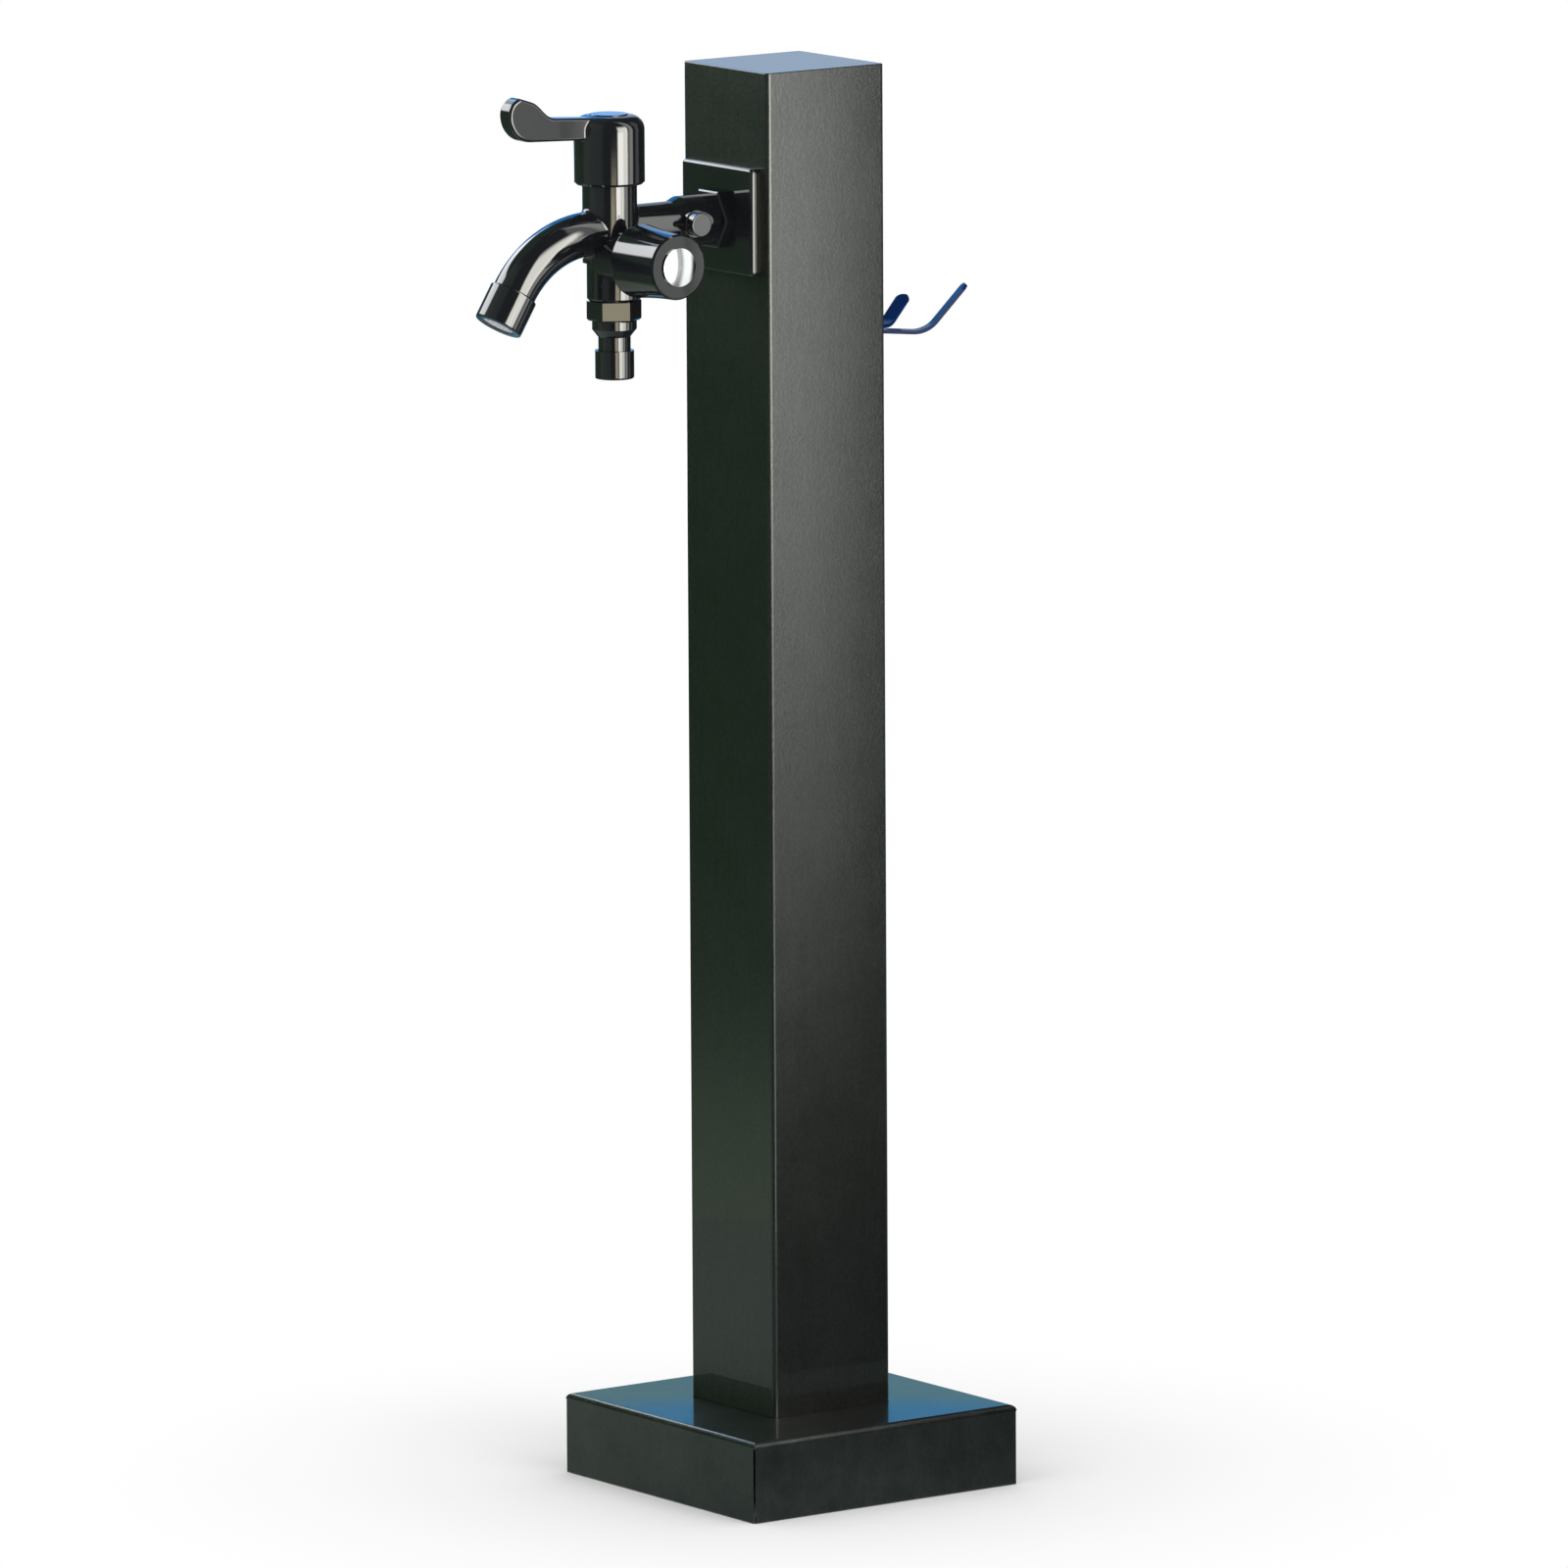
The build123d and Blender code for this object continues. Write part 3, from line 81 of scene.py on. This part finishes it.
# Near card beside the column: its distance and its span along Y, then the centre, half size
# and soft edge of its lit part along Y and upwards, and its light
NEAR_CARD_DISTANCE = 0.24
NEAR_CARD_RANGE = (0.05, 0.25)
NEAR_CARD_ALONG = (0.112, 0.025, 0.055)
NEAR_CARD_UP = (1.00, 0.49, 0.46)
NEAR_CARD_LIGHT = (1.31, 1.34, 1.29)

# Black steel: a fine short grain, long streaks and broad smears
GRAIN_STRETCH = (1.0, 1.0, 0.80)
GRAIN_SCALE = 950.0
STREAK_STRETCH = (1.0, 1.0, 0.10)
STREAK_SCALE = 420.0
STREAK_SHARE = 0.25
SMEAR_SCALE = 45.0
COLUMN_SMEAR = 0.3
COVER_SMEAR = 1.6
STEEL_DARK = (0.058, 0.062, 0.060)
STEEL_PALE = (0.146, 0.154, 0.149)

# Plain finishes: dark colour; pale colour; metallic; lowest and highest roughness
PLAIN_FINISHES = {
    "chrome": ((0.70, 0.72, 0.74), (0.80, 0.81, 0.82), 1.0, (0.05, 0.12)),
    "zinc": ((0.45, 0.46, 0.47), (0.62, 0.62, 0.61), 1.0, (0.35, 0.5)),
    "machined_brass": ((0.60, 0.43, 0.18), (0.75, 0.57, 0.28), 1.0, (0.2, 0.35)),
    "copper": ((0.60, 0.30, 0.18), (0.78, 0.42, 0.28), 1.0, (0.2, 0.35)),
    "grey_plastic": ((0.60, 0.61, 0.62), (0.72, 0.73, 0.74), 0.0, (0.4, 0.55)),
    "rubber": ((0.02, 0.02, 0.02), (0.05, 0.05, 0.05), 0.0, (0.6, 0.8)),
    "ceramic": ((0.80, 0.80, 0.77), (0.88, 0.88, 0.85), 0.0, (0.15, 0.25)),
}


def toward(azimuth, elevation):
    """Unit vector from the object towards a viewer or a light at that azimuth and elevation."""
    a = radians(azimuth)
    e = radians(elevation)
    return Vector((sin(a) * cos(e), -cos(a) * cos(e), sin(e)))


def aim(place, target, roll=0.0):
    """World matrix of a camera or a lamp at a place, looking at a target."""
    back = (place - target).normalized()
    right = Vector((0, 0, 1)).cross(back).normalized()
    up = back.cross(right)
    turn = Matrix((right, up, back)).transposed() @ Matrix.Rotation(roll, 3, "Z")
    return Matrix.Translation(place) @ turn.to_4x4()


def make_camera():
    """Camera at the photograph's angle."""
    data = bpy.data.cameras.new("camera")
    data.sensor_width = SENSOR_MM
    data.lens = FOCAL_PIXELS * SENSOR_MM / FRAME_PIXELS
    data.clip_end = CAMERA_CLIP_END
    side = Vector((cos(radians(CAMERA_AZIMUTH)), sin(radians(CAMERA_AZIMUTH)), 0))
    target = Vector((0, 0, CAMERA_TARGET_HEIGHT)) + side * CAMERA_SIDE_OFFSET
    place = target + toward(CAMERA_AZIMUTH, CAMERA_ELEVATION) * CAMERA_DISTANCE
    camera = bpy.data.objects.new("camera", data)
    bpy.context.scene.collection.objects.link(camera)
    camera.matrix_world = aim(place, target, radians(CAMERA_ROLL))
    bpy.context.scene.camera = camera


def area_light(name, direction, size, watts):
    """White panel lamp that neither the camera nor the gloss sees."""
    data = bpy.data.lights.new(name, "AREA")
    data.shape = "RECTANGLE"
    data.size, data.size_y = size
    data.energy = watts
    lamp = bpy.data.objects.new(name, data)
    bpy.context.scene.collection.objects.link(lamp)
    target = Vector(LAMP_TARGET)
    lamp.matrix_world = aim(target + toward(*direction) * LAMP_DISTANCE, target)
    lamp.visible_camera = False
    lamp.visible_glossy = False


def put(tree, value, socket):
    """Links an output to a socket, or sets the socket to a number or a vector."""
    if isinstance(value, bpy.types.NodeSocket):
        tree.links.new(value, socket)
    else:
        socket.default_value = value


def calculate(tree, operation, *values, kind="ShaderNodeMath"):
    """First output of a math node on outputs and numbers."""
    node = tree.nodes.new(kind)
    node.operation = operation
    for value, socket in zip(values, node.inputs):
        put(tree, value, socket)
    return node.outputs[0]


def map_range(tree, value, start=(0.0, 1.0), end=(0.0, 1.0), kind="LINEAR"):
    """Maps a value from one range onto another."""
    node = tree.nodes.new("ShaderNodeMapRange")
    node.interpolation_type = kind
    for name, number in zip(("From Min", "From Max", "To Min", "To Max"), (*start, *end)):
        node.inputs[name].default_value = number
    tree.links.new(value, node.inputs["Value"])
    return node.outputs["Result"]


def blend_colours(tree, factor, dark, pale):
    """Mixes two colours by a factor."""
    ramp = tree.nodes.new("ShaderNodeValToRGB")
    ramp.color_ramp.elements[0].color = (*dark, 1)
    ramp.color_ramp.elements[1].color = (*pale, 1)
    tree.links.new(factor, ramp.inputs["Fac"])
    return ramp.outputs["Color"]


def mix_shaders(tree, factor, first, second, output):
    """Gives an output the first shader where the factor is zero, the second where it is one."""
    mix = tree.nodes.new("ShaderNodeMixShader")
    for value, socket in zip((factor, first, second), mix.inputs):
        tree.links.new(value, socket)
    tree.links.new(mix.outputs["Shader"], output.inputs["Surface"])


def noise(tree, scale, detail, roughness=0.5, stretch=(1.0, 1.0, 1.0)):
    """Noise factor in object coordinates, which a stretch scales along each axis."""
    coordinates = tree.nodes.new("ShaderNodeTexCoord")
    mapping = tree.nodes.new("ShaderNodeMapping")
    mapping.inputs["Scale"].default_value = stretch
    tree.links.new(coordinates.outputs["Object"], mapping.inputs["Vector"])
    texture = tree.nodes.new("ShaderNodeTexNoise")
    texture.inputs["Scale"].default_value = scale
    texture.inputs["Detail"].default_value = detail
    texture.inputs["Roughness"].default_value = roughness
    tree.links.new(mapping.outputs["Vector"], texture.inputs["Vector"])
    return texture.outputs["Fac"]


def empty_material(name):
    """Node material with only its output."""
    made = bpy.data.materials.new(name)
    made.use_nodes = True
    tree = made.node_tree
    tree.nodes.clear()
    return made, tree, tree.nodes.new("ShaderNodeOutputMaterial")


def material(name):
    """Node material with its output and a Principled shader."""
    made, tree, output = empty_material(name)
    shader = tree.nodes.new("ShaderNodeBsdfPrincipled")
    tree.links.new(shader.outputs["BSDF"], output.inputs["Surface"])
    return made, tree, shader


def colour(tree, shader, factor, dark, pale):
    """Gives a shader a colour between two."""
    tree.links.new(blend_colours(tree, factor, dark, pale), shader.inputs["Base Color"])


def roughen(tree, shader, factor, low, high):
    """Gives a shader a roughness between two."""
    tree.links.new(map_range(tree, factor, end=(low, high)), shader.inputs["Roughness"])


def bump(tree, shader, height, strength, distance):
    """Adds a bump to a shader's normal."""
    bumped = tree.nodes.new("ShaderNodeBump")
    bumped.inputs["Strength"].default_value = strength
    bumped.inputs["Distance"].default_value = distance
    tree.links.new(height, bumped.inputs["Height"])
    tree.links.new(bumped.outputs["Normal"], shader.inputs["Normal"])


def brushed_black(name, smear):
    """Black plated steel with a fine short grain and faint smears, under a clear gloss."""
    made, tree, shader = material(name)
    grain = noise(tree, GRAIN_SCALE, detail=3.0, roughness=0.6, stretch=GRAIN_STRETCH)
    streak = noise(tree, STREAK_SCALE, detail=3.0, stretch=STREAK_STRETCH)
    cloud = noise(tree, SMEAR_SCALE, detail=5.0, roughness=0.6)
    marks = calculate(tree, "MULTIPLY_ADD", streak, STREAK_SHARE,
                      calculate(tree, "MULTIPLY", grain, 1.0 - STREAK_SHARE))
    smears = map_range(tree, cloud, end=(-smear / 2, smear / 2))
    colour(tree, shader, calculate(tree, "ADD", marks, smears), STEEL_DARK, STEEL_PALE)
    shader.inputs["Metallic"].default_value = 1.0
    roughen(tree, shader, cloud, low=0.36, high=0.46)
    shader.inputs["Coat Weight"].default_value = 1.0
    shader.inputs["Coat Roughness"].default_value = 0.03
    bump(tree, shader, grain, strength=0.4, distance=0.0004)
    return made


def gloss_black():
    """Deep black gloss plating of the tap."""
    made, tree, shader = material("gloss_black")
    smudge = noise(tree, scale=60.0, detail=5.0)
    ripple = noise(tree, scale=160.0, detail=2.0)
    colour(tree, shader, smudge, dark=(0.006, 0.0065, 0.008), pale=(0.012, 0.0125, 0.015))
    shader.inputs["IOR"].default_value = 2.1
    roughen(tree, shader, smudge, low=0.03, high=0.07)
    bump(tree, shader, ripple, strength=0.05, distance=0.0003)
    return made


def painted_sky_blue():
    """Black gloss of the hook, with a painted sky reflection as its deep blue colour."""
    made, tree, shader = material("painted_sky_blue")
    cloud = noise(tree, scale=70.0, detail=4.0)
    # Painted reflection: the blue colour stands in for the sky reflected in the hook's black
    # gloss.
    colour(tree, shader, cloud, dark=(0.002, 0.008, 0.055), pale=(0.004, 0.034, 0.150))
    shader.inputs["IOR"].default_value = 1.2
    roughen(tree, shader, cloud, low=0.08, high=0.18)
    bump(tree, shader, cloud, strength=0.04, distance=0.0002)
    return made


def plain(name):
    """Plain finish with slight changes of colour, roughness and height."""
    dark, pale, metallic, roughness = PLAIN_FINISHES[name]
    made, tree, shader = material(name)
    cloud = noise(tree, scale=80.0, detail=4.0)
    colour(tree, shader, cloud, dark, pale)
    shader.inputs["Metallic"].default_value = metallic
    roughen(tree, shader, cloud, *roughness)
    bump(tree, shader, cloud, strength=0.04, distance=0.0002)
    return made


def dress(finish, *names):
    """Gives CAD nodes a finish."""
    for name in names:
        data = nodes[name].data
        data.materials.clear()
        data.materials.append(finish)


def seen_rays(tree):
    """One for camera, glossy and transmission rays, zero for the rest."""
    path = tree.nodes.new("ShaderNodeLightPath")
    mirrored = calculate(tree, "MAXIMUM", path.outputs["Is Camera Ray"],
                         path.outputs["Is Glossy Ray"])
    return calculate(tree, "MAXIMUM", mirrored, path.outputs["Is Transmission Ray"])


def background(tree, strength):
    """White light of the world at a strength."""
    made = tree.nodes.new("ShaderNodeBackground")
    made.inputs["Color"].default_value = WHITE
    made.inputs["Strength"].default_value = strength
    return made.outputs["Background"]


def make_world():
    """White background, and a plain soft fill on the object."""
    world = bpy.data.worlds.new("studio")
    bpy.context.scene.world = world
    world.use_nodes = True
    tree = world.node_tree
    tree.nodes.clear()
    output = tree.nodes.new("ShaderNodeOutputWorld")
    mix_shaders(tree, seen_rays(tree), background(tree, WORLD_FILL), background(tree, 1.0),
                output)


def stage_mesh(name, form, finish):
    """Links a form as a part of the studio."""
    mesh = bpy.data.meshes.new(name)
    form.to_mesh(mesh)
    form.free()
    mesh.materials.append(finish)
    made = bpy.data.objects.new(name, mesh)
    bpy.context.scene.collection.objects.link(made)
    return made


def round_sheet(radius, height):
    """Form of a round flat sheet at a height."""
    form = bmesh.new()
    bmesh.ops.create_circle(form, cap_ends=True, radius=radius, segments=ROUND_SEGMENTS)
    bmesh.ops.translate(form, verts=form.verts, vec=(0, 0, height))
    return form


def make_floor():
    """Pale round floor: it takes the object's shadow, and turns white away from the object."""
    made, tree, shader = material("floor_paint")
    shader.inputs["Base Color"].default_value = (*FLOOR_COLOUR, 1)
    shader.inputs["Roughness"].default_value = 1.0
    shader.inputs["Specular IOR Level"].default_value = 0.0
    coordinates = tree.nodes.new("ShaderNodeTexCoord")
    distance = tree.nodes.new("ShaderNodeVectorMath")
    distance.operation = "LENGTH"
    tree.links.new(coordinates.outputs["Object"], distance.inputs[0])
    fade = map_range(tree, distance.outputs["Value"], start=(SHADOW_START, SHADOW_END),
                     kind="SMOOTHSTEP")
    white = tree.nodes.new("ShaderNodeEmission")
    white.inputs["Color"].default_value = WHITE
    mix_shaders(tree, calculate(tree, "MULTIPLY", fade, seen_rays(tree)),
                shader.outputs["BSDF"], white.outputs["Emission"],
                tree.nodes["Material Output"])
    stage_mesh("floor", round_sheet(FLOOR_RADIUS, 0.0), made)


def paper(name):
    """Material that only gives light, with its object coordinates split into three."""
    made, tree, output = empty_material(name)
    light = tree.nodes.new("ShaderNodeEmission")
    tree.links.new(light.outputs["Emission"], output.inputs["Surface"])
    coordinates = tree.nodes.new("ShaderNodeTexCoord")
    parts = tree.nodes.new("ShaderNodeSeparateXYZ")
    tree.links.new(coordinates.outputs["Object"], parts.inputs["Vector"])
    return made, tree, light, parts.outputs


def soft_window(tree, value, centre, half, soft):
    """One within half of the centre, falling softly to zero outside it."""
    away = calculate(tree, "ABSOLUTE", calculate(tree, "SUBTRACT", value, centre))
    return map_range(tree, away, start=(half + soft, half), kind="SMOOTHSTEP")


def soft_card(tree, along, across, up, upright):
    """One on a card with soft edges, zero beside, above and below it."""
    return calculate(tree, "MULTIPLY", soft_window(tree, along, *across),
                     soft_window(tree, up, *upright))


def tent_mat():
    """Dark mat under the object, paler on one side."""
    made, tree, light, parts = paper("tent_mat")
    place = map_range(tree, parts["X"], start=(-TENT_FLOOR_BLEND, TENT_FLOOR_BLEND))
    shade = blend_colours(tree, place, TENT_FLOOR_LEFT, TENT_FLOOR_RIGHT)
    tree.links.new(shade, light.inputs["Color"])
    return made


def near_paper():
    """Light of the near card, black beyond its soft edges."""
    made, tree, light, parts = paper("near_paper")
    light.inputs["Color"].default_value = (*NEAR_CARD_LIGHT, 1)
    card = soft_card(tree, parts["Y"], NEAR_CARD_ALONG, parts["Z"], NEAR_CARD_UP)
    tree.links.new(card, light.inputs["Strength"])
    return made


def tent_paper():
    """Light of the tent's wall: dark, with soft cards at set azimuths and heights."""
    made, tree, light, parts = paper("tent_paper")
    forward = calculate(tree, "MULTIPLY", parts["Y"], -1.0)
    azimuth = calculate(tree, "DEGREES", calculate(tree, "ARCTAN2", parts["X"], forward))
    total = TENT_DARK
    for across, upright, brightness in CARDS:
        card = soft_card(tree, azimuth, across, parts["Z"], upright)
        total = calculate(tree, "MULTIPLY_ADD", brightness, card, total,
                          kind="ShaderNodeVectorMath")
    tree.links.new(total, light.inputs["Color"])
    return made


def make_tent():
    """Dark tent with light cards, round the object, that only its gloss shows."""
    wall = bmesh.new()
    bmesh.ops.create_cone(wall, cap_ends=False, segments=ROUND_SEGMENTS, radius1=TENT_RADIUS,
                          radius2=TENT_RADIUS, depth=TENT_HEIGHT)
    bmesh.ops.translate(wall, verts=wall.verts, vec=(0, 0, TENT_HEIGHT / 2))
    near = bmesh.new()
    low, high = NEAR_CARD_RANGE
    corners = [near.verts.new((NEAR_CARD_DISTANCE, y, z))
               for y, z in ((low, 0), (high, 0), (high, TENT_HEIGHT), (low, TENT_HEIGHT))]
    near.faces.new(corners)
    cards = tent_paper()
    for made in (
        stage_mesh("tent_wall", wall, cards),
        stage_mesh("tent_below", round_sheet(TENT_RADIUS, TENT_FLOOR_HEIGHT), tent_mat()),
        stage_mesh("tent_above", round_sheet(TENT_RADIUS, TENT_HEIGHT), cards),
        stage_mesh("near_card", near, near_paper()),
    ):
        made.visible_camera = False
        made.visible_diffuse = False
        made.visible_transmission = False
        made.visible_volume_scatter = False
        made.visible_shadow = False


dress(brushed_black("brushed_black", COLUMN_SMEAR), "column_tube", "top_cap")
dress(brushed_black("smeared_black", COVER_SMEAR), "base_cover")
dress(gloss_black(), "tap_body", "wall_nut", "spout_collar", "hose_adapter", "top_handle",
      "top_button", "side_handle", "hook_screws", "escutcheon", "drain_plug")
dress(painted_sky_blue(), "hook")
dress(plain("chrome"), "side_button")
dress(plain("zinc"), "base_flange", "inlet_bracket", "hook_nuts", "top_handle_screw",
      "side_handle_screw")
dress(plain("machined_brass"), "inlet_socket", "inlet_lock_nut", "compression_nuts",
      "compression_olives", "wall_elbow", "top_cartridge", "side_cartridge", "top_spindle",
      "side_spindle")
dress(plain("copper"), "riser_pipe")
dress(plain("grey_plastic"), "aerator_insert")
dress(plain("rubber"), "elbow_gasket", "drain_plug_seal", "aerator_washer",
      "adapter_washer", "top_seat_seal", "side_seat_seal")
dress(plain("ceramic"), "top_fixed_disc", "side_fixed_disc", "top_moving_disc",
      "side_moving_disc")

bpy.context.scene.view_settings.view_transform = "Standard"
make_camera()
make_world()
make_floor()
make_tent()
for lamp in LAMPS:
    area_light(*lamp)
